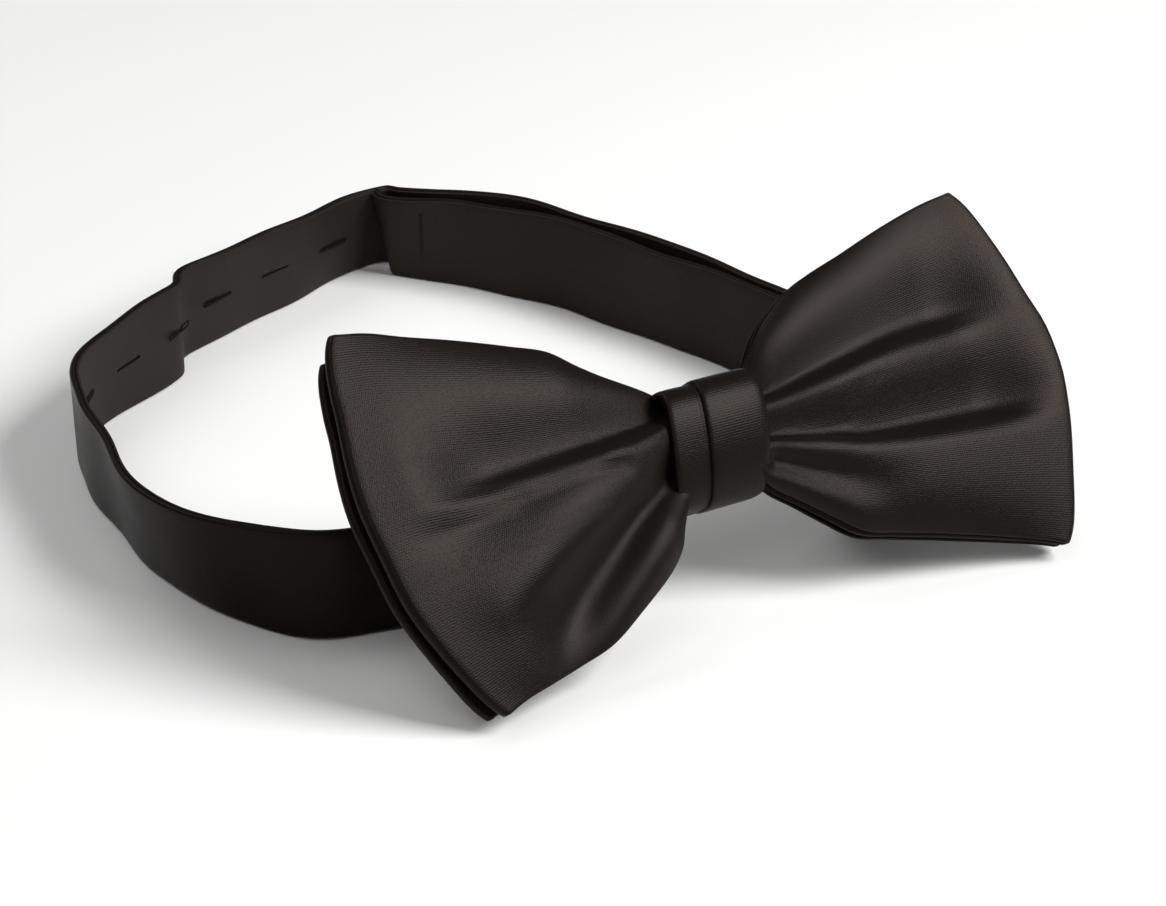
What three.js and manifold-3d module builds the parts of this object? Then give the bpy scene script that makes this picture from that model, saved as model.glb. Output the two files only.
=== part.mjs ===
// A ready-tied satin bow tie on a closed neckband, as it lies on a table: the bow leans back on its lower
// corners and the neckband stands on its edge behind it. Millimetres and degrees, +Z up, the bow faces -Y.
// The origin is the middle of the whole tie's bounding box, at table height.
import * as THREE from "three";
import { mergeVertices } from "three/addons/utils/BufferGeometryUtils.js";
import Module from "manifold-3d";

const wasm = await Module();
wasm.setup();

// ---------------------------------------------------------------- driving dimensions
const GAP = 0.3; // left between pieces that are pressed together on the real tie

// the bow: two flattened satin loops, one behind the other, pinched at the waist
const BOW_LEAN = 41; // how far the bow leans back from upright
const TOP_CORNER = 60; // from the bow's middle to an upper corner, sideways
const BOTTOM_CORNER = TOP_CORNER - 3.5;
const SIDE_BELLY = 6.5; // how far a wing's side bulges past its corners
const EDGE_CUP = 4; // how far the middle of a wing's side comes forward of its corners
const FRONT_HEIGHT = 61;
const REAR_HEIGHT = FRONT_HEIGHT - 2.5;
const REAR_DROP = 1.2; // the rear loop sits this much lower
const WAIST_HALF = 9.5; // half of the pinched length that the knot hides
const WAIST_HEIGHT = 15;
const SATIN = 0.35;
const INTERLINING = 0.3;
const WING_PUFF = 3; // half-thickness of a wing at its fullest
const FOLD_HALF = 1.2; // half-thickness at the folded side
const PLEAT_DEPTH = 1.1;
const BETWEEN_LOOPS = 0.5;

// the knot: a pleated satin strip wrapped round the bow's waist and the neckband
const KNOT_WIDTH = 18;
const KNOT_PLY = 1;
const KNOT_CORNER = 3;
const KNOT_PLEAT_AT = -2.2; // where the pleat's fold lies, sideways from the middle
const KNOT_PLEAT_STEP = 0.7; // how far the upper fold stands proud of the lower
const THREAD = 0.8;
const SEAM_THREAD = 0.4;
const BINDING_WIDTH = 5;

// the neckband: a satin face, a stiffener and a lining, stitched into one flat strap
const BAND_WIDTH = 17.5;
const BAND_PLY = 0.5;
const STIFFENER_WIDTH = 15.3;
const LINING_WIDTH = 16.9;
const BAND_SETTLES = 46; // sideways from the knot to where the band stands upright on the table
const HINGE_GAP = 0.36;

// the fastening: stitched slots along the long side, and a wire hook on the short side
const SLOTS_BEFORE_CREASE = 6;
const SLOTS_ON_TAIL = 5;
const SLOT_PITCH = 15.75;
const LAST_SLOT = 13.4; // from the last slot before the crease to the crease
const FIRST_TAIL_SLOT = 5.4; // from the crease to the first slot past it
const SLOT_LENGTH = 8.2;
const SLOT_OPENING = 1.7;
const SLOT_STITCH = 0.5;
const STITCH_PROUD = 0.25;
const WIRE = 1.1;
const HOOK_LENGTH = 8; // from the tongue to the bar that the tab holds
const HOOK_LOOP_HEIGHT = 9;
const HOOK_LOOP_LENGTH = 4;
const TONGUE_PROUD = 1; // how far the hook's tongue shows past the band
const TAB_PLY = 0.4;
const TAB_LENGTH = 6.5;
const TAB_HEIGHT = 6;
const TACK = 0.8;

const BAND_THICKNESS = 3 * BAND_PLY + 2 * GAP;
const LOOP_STACK = 2 * (SATIN + INTERLINING) + 3 * GAP; // a loop's thickness at the waist
const BINDING_DEPTH = LOOP_STACK + BETWEEN_LOOPS / 2 + GAP + THREAD; // half-depth of the thread binding
const BAND_DEPTH = BINDING_DEPTH + GAP + BAND_THICKNESS / 2; // from the waist back to the band's middle
const KNOT_WALL = INTERLINING + GAP + KNOT_PLY;
const STRAP_SPACING = BAND_THICKNESS + WIRE + 4 * GAP + 2 * TAB_PLY; // between the two straps' middles
const radians = THREE.MathUtils.degToRad;

// The bow's middle stands so high that its rear lower corners just meet the table.
const CORNER_ROUNDING = 0.24; // how much lower the rounded corner reaches than its two sizes say
const REAR_CORNER_DEPTH = BETWEEN_LOOPS / 2 + 2 * FOLD_HALF;
const BOW_RISE =
  (REAR_HEIGHT / 2 + REAR_DROP) * Math.cos(radians(BOW_LEAN)) +
  REAR_CORNER_DEPTH * Math.sin(radians(BOW_LEAN)) +
  CORNER_ROUNDING;
const leaning = new THREE.Matrix4()
  .makeTranslation(0, 0, BOW_RISE)
  .multiply(new THREE.Matrix4().makeRotationX(-radians(BOW_LEAN)));

// ---------------------------------------------------------------- materials
const cloth = (color, roughness) => new THREE.MeshStandardMaterial({ color, roughness, metalness: 0 });
const satin = cloth(0x2b2624, 0.45);
const lining = cloth(0x352f2c, 0.7);
const stiffener = cloth(0xb8b2a8, 0.95);
const thread = cloth(0x1a1715, 0.6);
const nickel = new THREE.MeshStandardMaterial({ color: 0xb9b7b2, roughness: 0.3, metalness: 1 });

// ---------------------------------------------------------------- solids
// A closed geometry from rings of points that follow each other; every ring has the same number of points.
// Each four-sided patch is split along its shorter diagonal, so that layers a gap apart stay apart.
function skin(rings, closed = false) {
  const count = rings[0].length;
  const points = rings.flat();
  const index = [];
  const steps = closed ? rings.length : rings.length - 1;
  for (let i = 0; i < steps; i++) {
    const here = i * count;
    const next = ((i + 1) % rings.length) * count;
    for (let j = 0; j < count; j++) {
      const k = (j + 1) % count;
      const [a, b, c, d] = [here + j, next + j, next + k, here + k];
      const shorter = points[a].distanceTo(points[c]) < points[b].distanceTo(points[d]);
      index.push(...(shorter ? [a, b, c, a, c, d] : [a, b, d, b, c, d]));
    }
  }
  if (!closed) {
    const last = (rings.length - 1) * count;
    for (let j = 1; j < count - 1; j++) index.push(0, j, j + 1, last, last + j + 1, last + j);
  }
  const geometry = new THREE.BufferGeometry();
  const positions = points.flatMap((p) => [p.x, p.y, p.z]);
  geometry.setAttribute("position", new THREE.Float32BufferAttribute(positions, 3));
  geometry.setIndex(index);
  return geometry;
}

// three.js geometry to a manifold-3d solid facing out, and back
function toSolid(geometry) {
  const bare = geometry.clone();
  bare.deleteAttribute("normal");
  bare.deleteAttribute("uv");
  const merged = mergeVertices(bare, 1e-4);
  const vertProperties = merged.attributes.position.array;
  const triVerts = new Uint32Array(merged.index.array);
  const solid = new wasm.Manifold(new wasm.Mesh({ numProp: 3, vertProperties, triVerts }));
  if (solid.volume() > 0) return solid;
  return new wasm.Manifold(new wasm.Mesh({ numProp: 3, vertProperties, triVerts: triVerts.reverse() }));
}

function toGeometry(solid) {
  const mesh = solid.getMesh();
  const geometry = new THREE.BufferGeometry();
  geometry.setAttribute("position", new THREE.BufferAttribute(new Float32Array(mesh.vertProperties), 3));
  geometry.setIndex(new THREE.BufferAttribute(new Uint32Array(mesh.triVerts), 1));
  return geometry;
}

const part = new THREE.Group();

function place(name, solid, material, matrix) {
  const geometry = toGeometry(solid);
  if (matrix) geometry.applyMatrix4(matrix);
  const mesh = new THREE.Mesh(geometry, material.clone());
  mesh.name = name;
  part.add(mesh);
}

// A rounded rectangle, `wide` by `high`, as a shape or as a hole
function rounded(wide, high, corner, Kind = THREE.Shape) {
  const [x, y] = [wide / 2, high / 2];
  const outline = new Kind();
  outline.absarc(x - corner, y - corner, corner, 0, Math.PI / 2);
  outline.absarc(corner - x, y - corner, corner, Math.PI / 2, Math.PI);
  outline.absarc(corner - x, corner - y, corner, Math.PI, 1.5 * Math.PI);
  outline.absarc(x - corner, corner - y, corner, 1.5 * Math.PI, 2 * Math.PI);
  outline.closePath();
  return outline;
}

// A shape given depth, centred on its own plane
function slab(shape, depth, curveSegments = 5) {
  const geometry = new THREE.ExtrudeGeometry(shape, { depth, bevelEnabled: false, curveSegments });
  return geometry.translate(0, 0, -depth / 2);
}

// Puts a slab's x, y and z along the given directions at the given place.
function aim(x, y, z, origin) {
  return new THREE.Matrix4().makeBasis(x, y, z).setPosition(origin);
}

// ---------------------------------------------------------------- the two loops of the bow
const ALONG_WING = [0, 0.07, 0.16, 0.29, 0.44, 0.6, 0.78, 0.92, 1]; // shares from the knot to the fold
const ROUND_FOLD = [60, 25, -25, -60]; // degrees round the folded side, front to back
const ACROSS_WING = [-1, -0.67, -0.33, 0, 0.33, 0.67, 1];

// Half the height of a wing at a share of the way from the knot to its folded side: it opens quickly past
// the knot, then straightens.
function halfHeight(height, share) {
  const flare = (1 - (1 - share) ** 4 + share) / 2;
  return THREE.MathUtils.lerp(WAIST_HEIGHT / 2, height / 2, flare);
}

// How far the cupped, pleated surface between the two loops comes forward at a place on the bow's face
function forwardAt(away, up) {
  const share = THREE.MathUtils.clamp((away - WAIST_HALF) / (TOP_CORNER - WAIST_HALF), 0, 1);
  const across = THREE.MathUtils.clamp(up / halfHeight(FRONT_HEIGHT, share), -1, 1);
  const pleat = PLEAT_DEPTH * Math.cos(3 * Math.PI * across) * share * (1 - share) * 3;
  return EDGE_CUP * share ** 2 * Math.cos((across * Math.PI) / 2) + pleat;
}

// One layer of a loop, from `outer` to `inner` millimetres inside its outside: a band closed on itself and
// open along its top and bottom. `direction` is 1 for the front loop and -1 for the rear one.
function loopLayer({ height, drop, direction }, outer, inner) {
  const at = (side, across, inset, share, angle) => {
    const corner = THREE.MathUtils.mapLinear(across, -1, 1, BOTTOM_CORNER, TOP_CORNER);
    const fold = corner + SIDE_BELLY * Math.cos((across * Math.PI) / 2) - FOLD_HALF;
    const away = THREE.MathUtils.lerp(WAIST_HALF, fold, share);
    const puff = (WING_PUFF - FOLD_HALF) * Math.sin(Math.PI * share) * (1 - 0.5 * across ** 2);
    const half = THREE.MathUtils.lerp(LOOP_STACK / 2, FOLD_HALF, share ** 0.5) + puff;
    const up = across * halfHeight(height, share) - drop * share;
    const out = (half - inset) * Math.sin(radians(angle));
    const x = away + (share === 1 ? (half - inset) * Math.cos(radians(angle)) : 0);
    const y = -direction * (BETWEEN_LOOPS / 2 + half) - forwardAt(away, up) - out;
    const hem = Math.abs(across) === 1 ? (across * inset) / 2 : 0;
    return new THREE.Vector3(side * x, y, up - hem);
  };
  const rightWing = [
    ...ALONG_WING.map((share) => [share, 90]),
    ...ROUND_FOLD.map((angle) => [1, angle]),
    ...[...ALONG_WING].reverse().map((share) => [share, -90]),
  ];
  const round = [
    ...rightWing.map(([share, angle]) => [1, share, angle]),
    ...[...rightWing].reverse().map(([share, angle]) => [-1, share, angle]),
  ];
  const rings = round.map(([side, share, angle]) => [
    ...ACROSS_WING.map((across) => at(side, across, outer, share, angle)),
    ...[...ACROSS_WING].reverse().map((across) => at(side, across, inner, share, angle)),
  ]);
  return toSolid(skin(rings, true));
}

const loops = {
  front_bow: { height: FRONT_HEIGHT, drop: 0, direction: 1 },
  rear_bow: { height: REAR_HEIGHT, drop: REAR_DROP, direction: -1 },
};
for (const [name, loop] of Object.entries(loops)) {
  place(`${name}_satin`, loopLayer(loop, 0, SATIN), satin, leaning);
  const inside = SATIN + GAP;
  place(`${name}_interlining`, loopLayer(loop, inside, inside + INTERLINING), stiffener, leaning);
}

// ---------------------------------------------------------------- the knot
// A wrap round the waist: `front`, `back` and `high` are its inside, `wall` its thickness, and it reaches
// from `left` to `right` along the bow.
function wrap({ front, back, high }, wall, left, right, corner) {
  const deep = front + back;
  const outline = rounded(deep + 2 * wall, 2 * (high + wall), corner);
  outline.holes.push(rounded(deep, 2 * high, Math.max(0.2, corner - wall), THREE.Path));
  const x = new THREE.Vector3(0, 1, 0);
  const y = new THREE.Vector3(0, 0, 1);
  const z = new THREE.Vector3(1, 0, 0);
  const middle = new THREE.Vector3((left + right) / 2, (back - front) / 2, 0);
  return toSolid(slab(outline, right - left, 6).applyMatrix4(aim(x, y, z, middle)));
}

const waistDeep = BINDING_DEPTH - THREAD;
const waist = { front: waistDeep, back: waistDeep, high: WAIST_HEIGHT / 2 + GAP };
place("waist_binding", wrap(waist, THREAD, -BINDING_WIDTH / 2, BINDING_WIDTH / 2, 1.4), thread, leaning);

const bundle = {
  front: BINDING_DEPTH + GAP,
  back: BAND_DEPTH + BAND_THICKNESS / 2 + GAP,
  high: Math.max(BAND_WIDTH / 2, waist.high + THREAD) + GAP,
};
const knotLeft = -KNOT_WIDTH / 2;
const knotRight = KNOT_WIDTH / 2;
const liner = wrap(bundle, INTERLINING, knotLeft + 1, knotRight - 1, KNOT_CORNER - KNOT_PLY - GAP);
place("knot_interlining", liner, stiffener, leaning);

const lined = Object.fromEntries(Object.entries(bundle).map(([k, v]) => [k, v + INTERLINING + GAP]));
const lower = wrap(lined, KNOT_PLY, knotLeft, knotRight, KNOT_CORNER);
const upper = wrap(lined, KNOT_PLY + KNOT_PLEAT_STEP, KNOT_PLEAT_AT, knotRight, KNOT_CORNER);
const cutBehind = new THREE.BoxGeometry(KNOT_WIDTH * 2, 30, 60).translate(0, 15 + lined.back - 1, 0);

// The knot closes behind the neckband, in a seam whose stitches are sunk into the cloth.
const knotBack = lined.back + KNOT_PLY;
const sunk = SEAM_THREAD + GAP;
const groove = new THREE.BoxGeometry(KNOT_WIDTH * 2, 2 * sunk, SEAM_THREAD + 2 * GAP).translate(0, knotBack, 0);
const knot = lower.add(upper.subtract(toSolid(cutBehind))).subtract(toSolid(groove));
place("knot_wrap", knot, satin, leaning);

const seamShape = rounded(SEAM_THREAD, SEAM_THREAD, SEAM_THREAD / 2 - 0.01);
const alongBow = aim(
  new THREE.Vector3(0, 1, 0),
  new THREE.Vector3(0, 0, 1),
  new THREE.Vector3(1, 0, 0),
  new THREE.Vector3(0, knotBack - SEAM_THREAD / 2 - 0.02, 0),
);
const seam = slab(seamShape, KNOT_WIDTH - 3, 3).applyMatrix4(alongBow);
place("knot_seam_stitching", toSolid(seam), thread, leaning);

// ---------------------------------------------------------------- where the neckband runs, seen from above
// Both straps run clockwise, so the wearer's neck is always to the right of the way they run.
const CREASE = new THREE.Vector3(19.5, 132, 0);
const TAIL_BEND = new THREE.Vector3(31, 120.8, 0);
const RIGHT_HINGE = new THREE.Vector3(54.5, 42, 0);
const knotY = BAND_DEPTH * Math.cos(radians(BOW_LEAN));
const knotZ = BOW_RISE - BAND_DEPTH * Math.sin(radians(BOW_LEAN));
const tailWay = TAIL_BEND.clone().sub(CREASE).normalize();
const tailInward = new THREE.Vector3(tailWay.y, -tailWay.x, 0);
const alongTail = (along, inward) =>
  CREASE.clone().addScaledVector(tailWay, along).addScaledVector(tailInward, inward);

const run = (...points) =>
  new THREE.CatmullRomCurve3(
    points.map((p) => (p.isVector3 ? p : new THREE.Vector3(p[0], p[1], 0))),
    false,
    "centripetal",
  );
const mainRun = run(
  RIGHT_HINGE, [53, 28], [45, 17.5], [30, 10.5], [18, 6], [11, knotY], [5.5, knotY], [0, knotY],
  [-5.5, knotY], [-11, knotY], [-18, 6], [-30, 9.5], [-41, 12], [-52, 15], [-63, 19.5],
  [-70.5, 28], [-74.5, 46], [-72, 66], [-68, 82], [-60, 95.5], [-46, 104.5], [-31, 113.5],
  [-14.4, 121.4], [0, 126.4], [9.5, 129.8], CREASE,
);
const tailRun = run(
  CREASE, alongTail(8, 0), TAIL_BEND, [37.5, 112.3], [45, 97.5], [52.8, 78.5], [57, 59], [58, 51],
);
const rightRun = run(
  alongTail(1.5, STRAP_SPACING), alongTail(8, STRAP_SPACING), alongTail(15, STRAP_SPACING),
  [32.5, 110], [38.3, 100], [44.5, 81.6], [50.5, 63], RIGHT_HINGE,
);

// The strap's frame at a distance along its run: `way` along it, `up` across its width, `inward` to the neck.
function frameAt(curve, distance) {
  const lifted = (s) => {
    const p = curve.getPointAt(THREE.MathUtils.clamp(s / curve.getLength(), 0, 1));
    const front = p.y < RIGHT_HINGE.y;
    const rise = front ? 1 - THREE.MathUtils.smoothstep(Math.abs(p.x), 11, BAND_SETTLES) : 0;
    p.z = THREE.MathUtils.lerp(BAND_WIDTH / 2, knotZ, rise);
    return { p, lean: radians(BOW_LEAN) * rise };
  };
  const { p, lean } = lifted(distance);
  const step = 0.2;
  const way = lifted(distance + step).p.sub(lifted(distance - step).p).normalize();
  const level = new THREE.Vector3(way.y, -way.x, 0).normalize();
  const up = level.multiplyScalar(Math.sin(lean)).add(new THREE.Vector3(0, 0, Math.cos(lean)));
  up.addScaledVector(way, -up.dot(way)).normalize();
  return { p, way, up, inward: way.clone().cross(up) };
}

// One ply of a strap, `wide` across and from `near` to `far` inward of the strap's middle. It can run on
// past either end of its curve, to be cut round a hinge.
function ply(curve, wide, near, far, { before = 0, after = 0 } = {}) {
  const length = curve.getLength();
  const distances = [0];
  while (distances.at(-1) < length - 1) {
    const { way } = frameAt(curve, distances.at(-1));
    const twisting = Math.abs(way.z) > 0.01 || frameAt(curve, distances.at(-1) + 2).p.z > BAND_WIDTH / 2;
    distances.push(Math.min(length, distances.at(-1) + (twisting ? 1.8 : 3.4)));
  }
  const stations = distances.map((distance) => frameAt(curve, distance));
  const on = ({ p, ...rest }, by) => ({ ...rest, p: p.clone().addScaledVector(rest.way, by) });
  if (before) stations.unshift(on(stations[0], -before));
  if (after) stations.push(on(stations[stations.length - 1], after));
  const corners = [[near, -0.5], [near, 0], [near, 0.5], [far, 0.5], [far, 0], [far, -0.5]];
  const ring = ({ p, up, inward }) =>
    corners.map(([o, w]) => p.clone().addScaledVector(inward, o).addScaledVector(up, w * wide));
  return toSolid(skin(stations.map(ring)));
}

// ---------------------------------------------------------------- slots and hinges
const LONG = 3 * BAND_WIDTH;
const stadium = (long, high, Kind) => rounded(long, high, high / 2 - 0.01, Kind);
const slotHigh = SLOT_OPENING + 2 * SLOT_STITCH;
const at = ({ p, way, up, inward }) => aim(way, up, inward, p);

function slotCutter(frame) {
  const hole = stadium(SLOT_LENGTH + 2 * GAP, slotHigh + 2 * GAP);
  return toSolid(slab(hole, BAND_THICKNESS * 3, 3).applyMatrix4(at(frame)));
}

function slotRing(frame) {
  const ring = stadium(SLOT_LENGTH, slotHigh);
  ring.holes.push(stadium(SLOT_LENGTH - 2 * SLOT_STITCH, SLOT_OPENING, THREE.Path));
  return toSolid(slab(ring, BAND_THICKNESS + 2 * STITCH_PROUD, 3).applyMatrix4(at(frame)));
}

function postAt(place, radius) {
  const post = new THREE.CylinderGeometry(radius, radius, LONG, 32).rotateX(Math.PI / 2);
  return toSolid(post.translate(place.x, place.y, 0));
}

// Takes off everything on one side of a hinge, except a round nose about the hinge's axis.
function noseCutter(frame, side) {
  const block = new THREE.BoxGeometry(20, LONG, 20).translate(side * 10, 0, 0);
  return toSolid(block.applyMatrix4(at(frame))).subtract(postAt(frame.p, BAND_THICKNESS / 2));
}

const plies = {
  face: [BAND_WIDTH, -BAND_THICKNESS / 2, satin],
  stiffener: [STIFFENER_WIDTH, -BAND_PLY / 2, stiffener],
  lining: [LINING_WIDTH, BAND_THICKNESS / 2 - BAND_PLY, lining],
};

function strap(name, curve, cutters, reach) {
  for (const [piece, [wide, near, material]] of Object.entries(plies)) {
    let solid = ply(curve, wide, near, near + BAND_PLY, reach);
    for (const cutter of cutters) solid = solid.subtract(cutter);
    place(`${name}_${piece}`, solid, material);
  }
}

const mainLength = mainRun.getLength();
const mainSlots = Array.from({ length: SLOTS_BEFORE_CREASE }, (_, i) =>
  frameAt(mainRun, mainLength - LAST_SLOT - (SLOTS_BEFORE_CREASE - 1 - i) * SLOT_PITCH),
);
const tailSlots = Array.from({ length: SLOTS_ON_TAIL }, (_, i) =>
  frameAt(tailRun, FIRST_TAIL_SLOT + i * SLOT_PITCH),
);
const clearance = BAND_THICKNESS / 2 + HINGE_GAP;
strap("neckband", mainRun, [
  postAt(RIGHT_HINGE, clearance),
  postAt(CREASE, clearance),
  ...mainSlots.map(slotCutter),
]);
strap("tail", tailRun, [noseCutter(frameAt(tailRun, 0), -1), ...tailSlots.map(slotCutter)], {
  before: BAND_THICKNESS,
});
const rightEnd = frameAt(rightRun, rightRun.getLength());
strap("right_strap", rightRun, [noseCutter(rightEnd, 1)], { after: BAND_THICKNESS });
[...mainSlots, ...tailSlots].forEach((frame, i) => place(`slot_stitching_${i + 1}`, slotRing(frame), thread));

// ---------------------------------------------------------------- the hook and its tab
// Measured along the strap from the tongue's slot, across the strap, and inward from the tail's middle.
const hookFrame = tailSlots[0];
const hookAt = (along, across, inward) =>
  hookFrame.p
    .clone()
    .addScaledVector(hookFrame.way, along)
    .addScaledVector(hookFrame.up, across)
    .addScaledVector(hookFrame.inward, inward);
const shankDepth = STRAP_SPACING / 2;

function rod(from, to) {
  const round = new THREE.CylinderGeometry(WIRE / 2, WIRE / 2, from.distanceTo(to), 10);
  const turn = new THREE.Quaternion().setFromUnitVectors(
    new THREE.Vector3(0, 1, 0),
    to.clone().sub(from).normalize(),
  );
  const middle = from.clone().add(to).multiplyScalar(0.5);
  round.applyQuaternion(turn).translate(middle.x, middle.y, middle.z);
  const ball = (p) => toSolid(new THREE.SphereGeometry(WIRE / 2, 10, 6).translate(p.x, p.y, p.z));
  return toSolid(round).add(ball(from)).add(ball(to));
}

const loopEnd = HOOK_LENGTH - HOOK_LOOP_LENGTH;
const loopTop = HOOK_LOOP_HEIGHT / 2;
const hook = [
  [hookAt(0, 0, -BAND_THICKNESS / 2 - TONGUE_PROUD + WIRE / 2), hookAt(0, 0, shankDepth)],
  [hookAt(0, 0, shankDepth), hookAt(loopEnd, 0, shankDepth)],
  [hookAt(loopEnd, -loopTop, shankDepth), hookAt(loopEnd, loopTop, shankDepth)],
  [hookAt(loopEnd, loopTop, shankDepth), hookAt(HOOK_LENGTH, loopTop, shankDepth)],
  [hookAt(HOOK_LENGTH, loopTop, shankDepth), hookAt(HOOK_LENGTH, -loopTop, shankDepth)],
  [hookAt(HOOK_LENGTH, -loopTop, shankDepth), hookAt(loopEnd, -loopTop, shankDepth)],
];
place("strap_hook", hook.map(([from, to]) => rod(from, to)).reduce((a, b) => a.add(b)), nickel);

// The tab folds round the hook's bar and is sewn flat to the strap's end.
const tabRound = WIRE / 2 + GAP + TAB_PLY;
const upright = aim(hookFrame.way, hookFrame.inward, hookFrame.way.clone().cross(hookFrame.inward), hookAt(HOOK_LENGTH, 0, shankDepth));
const cylinder = (r, long) => new THREE.CylinderGeometry(r, r, long, 24).rotateX(Math.PI / 2);
const leaf = new THREE.BoxGeometry(TAB_LENGTH, 2 * TAB_PLY, TAB_HEIGHT).translate(
  TAB_LENGTH / 2,
  tabRound - TAB_PLY,
  0,
);
const tab = toSolid(cylinder(tabRound, TAB_HEIGHT))
  .add(toSolid(leaf))
  .subtract(toSolid(cylinder(WIRE / 2 + GAP, TAB_HEIGHT * 2)));
place("hook_tab", tab, satin, upright);

// Bar tacks: a dense row of stitches across a strap's end, on its neck side.
function tackAt(frame) {
  const bar = slab(rounded(TACK, LINING_WIDTH - 5, TACK / 2 - 0.01), TACK / 2, 4);
  const inward = BAND_THICKNESS / 2 + 0.1 + TACK / 4;
  return toSolid(bar.translate(0, 0, inward).applyMatrix4(at(frame)));
}
place("right_end_tack", tackAt(frameAt(rightRun, 3)), thread);
place("tail_end_tack", tackAt(frameAt(tailRun, tailRun.getLength() - 3)), thread);

// ---------------------------------------------------------------- the whole tie, centred on its own box
const box = new THREE.Box3().setFromObject(part);
const middle = box.getCenter(new THREE.Vector3());
for (const mesh of part.children) mesh.geometry.translate(-middle.x, -middle.y, -box.min.z);

export default part;
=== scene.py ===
import math

import bpy
import numpy as np
from mathutils import Matrix, Vector


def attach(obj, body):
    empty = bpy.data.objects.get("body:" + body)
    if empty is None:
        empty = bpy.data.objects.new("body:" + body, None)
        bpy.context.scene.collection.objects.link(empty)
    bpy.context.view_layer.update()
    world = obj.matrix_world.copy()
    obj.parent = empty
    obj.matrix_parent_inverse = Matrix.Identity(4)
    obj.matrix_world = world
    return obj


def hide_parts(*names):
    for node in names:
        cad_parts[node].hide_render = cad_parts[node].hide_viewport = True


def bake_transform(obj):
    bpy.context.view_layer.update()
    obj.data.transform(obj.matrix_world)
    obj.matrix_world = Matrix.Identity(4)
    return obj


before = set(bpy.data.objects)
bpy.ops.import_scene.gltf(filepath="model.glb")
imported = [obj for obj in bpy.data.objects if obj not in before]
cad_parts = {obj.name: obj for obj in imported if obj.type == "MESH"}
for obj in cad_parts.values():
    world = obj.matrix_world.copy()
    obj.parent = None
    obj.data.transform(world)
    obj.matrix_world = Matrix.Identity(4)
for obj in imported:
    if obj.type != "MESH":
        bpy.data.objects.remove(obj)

bl_info = {
    "name": "Satin bow tie",
    "version": (1, 0, 0),
    "blender": (4, 5, 0),
    "location": "3D View > Sidebar > Bow tie",
    "description": "Ready-tied satin bow tie on a hooked neckband, lying on a table",
    "category": "Add Mesh",
}

# Lengths are in millimetres and are turned into metres where a mesh is made. "Bow space" has its origin at
# the middle of the bow: x along the bow, u up its leaning face, d back from it. "Plan" is seen from above,
# measured from the bow's middle, y towards the back of the neckband.
ORIGIN = np.array([5.466, -55.625, 24.96])  # the bow's middle in the row frame
CREASE = np.array([19.5, 132.0])  # in plan, where the long band folds back
TAIL_WAY = np.array([11.5, -11.2]) / math.hypot(11.5, 11.2)  # in plan, along the tail
TAIL_INWARD = np.array([TAIL_WAY[1], -TAIL_WAY[0]])
STRAP_SPACING = 5.2  # from the middle of the tail to the middle of the short strap
KNOT_CENTRE = -1.3  # along x in bow space
KNOT_PLEAT = -2.6  # where the wrap's pleat lies, from the knot's centre
KNOT_FRONT, KNOT_REAR, KNOT_HALF_HEIGHT = 5.1, 6.5, 9.5
KNOT_RAISE = 0.65  # the knot's middle lies this far up the bow
KNOT_BACK = 6.75  # the outside of the wrap behind the neckband
KNOT_PLY = 0.9
WAIST_BACK = 4.2  # the thread round the waist stops here, in front of the neckband
TURNED_IN = 9  # sections in each turned-in end of the knot


# ---------------------------------------------------------------- settings
class BowTieSizes(bpy.types.PropertyGroup):
    lean: bpy.props.FloatProperty(name="Bow lean", default=41.0)
    satin_thickness: bpy.props.FloatProperty(name="Satin, two layers pressed (mm)", default=0.55)
    layer_gap: bpy.props.FloatProperty(name="Half-depth of a loop at mid wing (mm)", default=1.75)
    fold_radius: bpy.props.FloatProperty(name="Radius of the side folds (mm)", default=0.9)
    pleats: bpy.props.FloatProperty(name="Depth of the pleats", default=1.0)
    band_width: bpy.props.FloatProperty(name="Band width (mm)", default=17.5)
    band_thickness: bpy.props.FloatProperty(name="Band thickness (mm)", default=1.6)
    slot_pitch: bpy.props.FloatProperty(name="Slot pitch (mm)", default=15.75)
    slot_length: bpy.props.FloatProperty(name="Slot length (mm)", default=7.0)
    wire: bpy.props.FloatProperty(name="Hook wire (mm)", default=1.1)


class BowTieColours(bpy.types.PropertyGroup):
    satin: bpy.props.StringProperty(name="Satin", default="#130f0d")
    lining: bpy.props.StringProperty(name="Lining", default="#1b1714")
    thread: bpy.props.StringProperty(name="Thread", default="#14110f")
    fray: bpy.props.StringProperty(name="Frayed thread", default="#5f564e")
    wire: bpy.props.StringProperty(name="Nickel wire", default="#b9b6b0")
    table: bpy.props.StringProperty(name="Table", default="#fdfdfc")


def sizes():
    return bpy.context.scene.bow_tie_sizes


def colour(name):
    """One of the colour settings, a hex sRGB value, as linear RGBA."""
    text = getattr(bpy.context.scene.bow_tie_colours, name).lstrip("#")
    parts = [int(text[i : i + 2], 16) / 255 for i in (0, 2, 4)]
    linear = [p / 12.92 if p <= 0.04045 else ((p + 0.055) / 1.055) ** 2.4 for p in parts]
    return (*linear, 1.0)


# ---------------------------------------------------------------- materials
def nodes_for(name):
    material = bpy.data.materials.get(name) or bpy.data.materials.new(name)
    material.use_nodes = True
    tree = material.node_tree
    tree.nodes.clear()
    out = tree.nodes.new("ShaderNodeOutputMaterial")
    shader = tree.nodes.new("ShaderNodeBsdfPrincipled")
    tree.links.new(shader.outputs[0], out.inputs["Surface"])
    return material, tree, shader


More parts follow.
